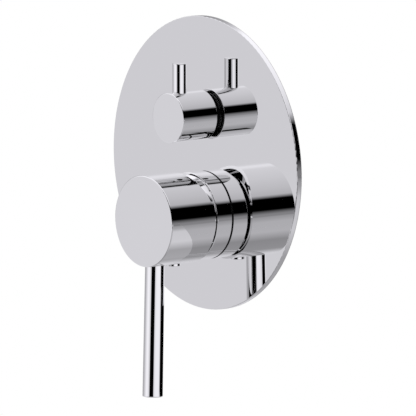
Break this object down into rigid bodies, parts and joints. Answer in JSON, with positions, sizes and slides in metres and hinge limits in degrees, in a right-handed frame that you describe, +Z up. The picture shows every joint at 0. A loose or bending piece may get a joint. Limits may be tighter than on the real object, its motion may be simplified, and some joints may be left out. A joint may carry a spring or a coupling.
{
  "type": "shower diverter valve",
  "caption": "Concealed shower mixer with diverter: round polished wall plate, lever handle that turns and lifts, small turning knob with a pin, brass body behind.",
  "frame": {"origin": "centre of the wall plate's back face, on the finished wall", "axes": "+Z up, -Y out of the wall towards the user, +X to the right seen from the front"},
  "size_m": [0.16, 0.0766, 0.205],
  "materials": {
    "chrome": "mirror-polished chrome plate",
    "cast_brass": "fine sand-cast brass, matt",
    "turned_brass": "turned brass, satin",
    "steel": "stainless steel, satin",
    "grey_plastic": "moulded plastic, matt",
    "white_plastic": "moulded plastic, matt",
    "black_plastic": "moulded plastic, satin black",
    "ceramic": "lapped ceramic",
    "black_rubber": "smooth black rubber",
    "foam": "closed-cell foam"
  },
  "bodies": {
    "fixed": {"escutcheon_plate": "chrome", "plate_gasket": "foam", "mixer_collar": "chrome", "collar_seal": "black_rubber", "collar_o_ring": "black_rubber", "valve_body": "cast_brass", "hot_inlet_nipple": "turned_brass", "cold_inlet_nipple": "turned_brass", "side_outlet_nipple": "turned_brass", "top_outlet_nipple": "turned_brass", "cartridge_housing": "grey_plastic", "cartridge_base": "grey_plastic", "base_seals": "black_rubber", "fixed_disc": "ceramic", "cartridge_nut": "turned_brass", "diverter_sleeve": "black_plastic", "diverter_housing": "turned_brass", "diverter_fixed_disc": "ceramic", "diverter_seal": "black_rubber"},
    "rotor": {"cartridge_rotor": "white_plastic", "stem_pivot_pin": "steel"},
    "lever": {"mixer_handle": "chrome", "mixer_lever": "chrome", "handle_plug": "chrome", "handle_set_screw": "steel", "cartridge_stem": "steel"},
    "slider": {"disc_slider": "white_plastic", "moving_disc": "ceramic"},
    "diverter": {"diverter_knob": "chrome", "diverter_pin": "chrome", "knob_set_screw": "steel", "diverter_spindle": "turned_brass", "diverter_clip": "steel", "diverter_moving_disc": "ceramic"}
  },
  "joints": [
    {"name": "temperature_turn", "type": "hinge", "parent": "fixed", "child": "rotor", "pos_m": [0, 0, -0.0285], "axis": [0, -1, 0], "range_deg": [-45, 45]},
    {"name": "flow_tilt", "type": "hinge", "parent": "rotor", "child": "lever", "pos_m": [0, -0.0092, -0.0285], "axis": [-1, 0, 0], "range_deg": [0, 18]},
    {"name": "disc_slide", "type": "slide", "parent": "rotor", "child": "slider", "axis": [0, 0, -1], "range_m": [0, 0.00342]},
    {"name": "diverter_turn", "type": "hinge", "parent": "fixed", "child": "diverter", "pos_m": [0, 0, 0.0265], "axis": [0, -1, 0], "range_deg": [-45, 45]}
  ],
  "couplings": [
    {"joint": "disc_slide", "follows": "flow_tilt", "m_per_rad": 0.01082}
  ]
}
